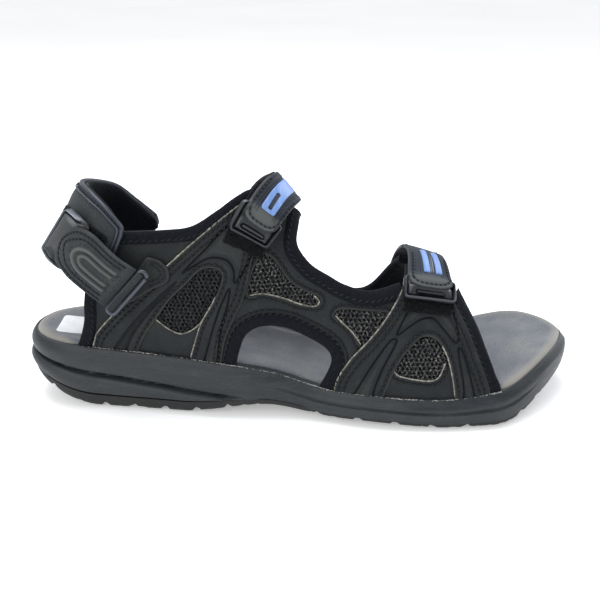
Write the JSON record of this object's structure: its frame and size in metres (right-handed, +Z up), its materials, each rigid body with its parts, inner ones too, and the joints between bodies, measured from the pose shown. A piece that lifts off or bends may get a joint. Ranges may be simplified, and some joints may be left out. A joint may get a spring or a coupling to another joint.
{
  "type": "strappy sport sandal",
  "caption": "Open-toed sport sandal with a moulded sole, cut-out side panels, and hook-and-loop straps over the toes, the instep and round the heel.",
  "frame": {"origin": "on the ground, under the middle of the sole", "axes": "+X to the toe, +Y to the inner side of the foot, +Z up"},
  "size_m": [0.2896, 0.108, 0.1225],
  "materials": {
    "rubber_outsole": "matt moulded rubber tread",
    "foam_midsole": "satin moulded foam, fine grain",
    "steel_shank": "plain rolled spring steel",
    "fibre_board": "pressed fibre board",
    "cushion_foam": "open-cell foam",
    "microsuede": "brushed grey microsuede",
    "woven_label": "plain white woven label with no lettering",
    "lining_knit": "fine dark knit over foam",
    "nubuck": "matt charcoal synthetic nubuck",
    "air_mesh": "open dark spacer mesh",
    "binding_tape": "soft dark elastic binding",
    "moulded_rubber": "semi-gloss moulded rubber",
    "hook_loop_tape": "black hook-and-loop tape",
    "blue_inlay": "satin light blue film"
  },
  "bodies": {
    "root": {"outsole": "rubber_outsole", "midsole": "foam_midsole", "shank": "steel_shank", "insole_board": "fibre_board", "footbed_foam": "cushion_foam", "heel_collar_pad": "cushion_foam", "footbed_cover": "microsuede", "heel_label": "woven_label", "outer_rear_lining": "lining_knit", "outer_front_lining": "lining_knit", "outer_quarter": "nubuck", "outer_vamp": "nubuck", "outer_quarter_overlay": "nubuck", "outer_vamp_overlay": "nubuck", "outer_quarter_mesh": "air_mesh", "outer_instep_mesh": "air_mesh", "outer_vamp_mesh": "air_mesh", "outer_rear_binding": "binding_tape", "outer_topline_binding": "binding_tape", "outer_throat_binding": "binding_tape", "outer_toe_binding": "binding_tape", "outer_arch_binding": "binding_tape", "inner_rear_lining": "lining_knit", "inner_front_lining": "lining_knit", "inner_quarter": "nubuck", "inner_vamp": "nubuck", "inner_quarter_overlay": "nubuck", "inner_vamp_overlay": "nubuck", "inner_quarter_mesh": "air_mesh", "inner_instep_mesh": "air_mesh", "inner_vamp_mesh": "air_mesh", "inner_rear_binding": "binding_tape", "inner_topline_binding": "binding_tape", "inner_throat_binding": "binding_tape", "inner_toe_binding": "binding_tape", "inner_arch_binding": "binding_tape", "outer_ball_mesh": "air_mesh", "heel_collar_shell": "nubuck", "heel_ring_keeper": "nubuck", "heel_ring": "moulded_rubber", "instep_loop_patch": "hook_loop_tape", "toe_loop_patch": "hook_loop_tape", "heel_loop_patch": "hook_loop_tape", "heel_collar_lining": "lining_knit"},
    "instep_strap": {"instep_strap": "nubuck"},
    "instep_tab": {"instep_strap_tab": "nubuck", "instep_tab_end": "moulded_rubber", "instep_hook_patch": "hook_loop_tape", "instep_inlay": "blue_inlay"},
    "toe_strap": {"toe_strap": "nubuck"},
    "toe_tab": {"toe_strap_tab": "nubuck", "toe_tab_end": "moulded_rubber", "toe_hook_patch": "hook_loop_tape", "toe_inlay_rear": "blue_inlay", "toe_inlay_front": "blue_inlay"},
    "heel_tab": {"heel_strap_tab": "nubuck", "heel_tab_end": "moulded_rubber", "heel_hook_patch": "hook_loop_tape"}
  },
  "joints": [
    {"name": "instep_strap_swing", "type": "hinge", "parent": "root", "child": "instep_strap", "pos_m": [-0.02426, 0.02183, 0.08677], "axis": [-0.702, 0.0424, 0.7109], "range_deg": [0, 60]},
    {"name": "instep_tab_peel", "type": "hinge", "parent": "instep_strap", "child": "instep_tab", "pos_m": [-0.00586, -0.00588, 0.11326], "axis": [-0.6373, 0.0211, 0.7704], "range_deg": [0, 90]},
    {"name": "toe_strap_swing", "type": "hinge", "parent": "root", "child": "toe_strap", "pos_m": [0.05953, 0.03543, 0.04983], "axis": [-0.9577, -0.2171, 0.1887], "range_deg": [0, 60]},
    {"name": "toe_tab_peel", "type": "hinge", "parent": "toe_strap", "child": "toe_tab", "pos_m": [0.06458, -0.00347, 0.07724], "axis": [-0.938, -0.1096, 0.3289], "range_deg": [0, 90]},
    {"name": "heel_tab_peel", "type": "hinge", "parent": "root", "child": "heel_tab", "pos_m": [-0.0885, -0.04025, 0.0705], "axis": [0.6667, -0.0196, 0.7451], "range_deg": [0, 100]}
  ]
}
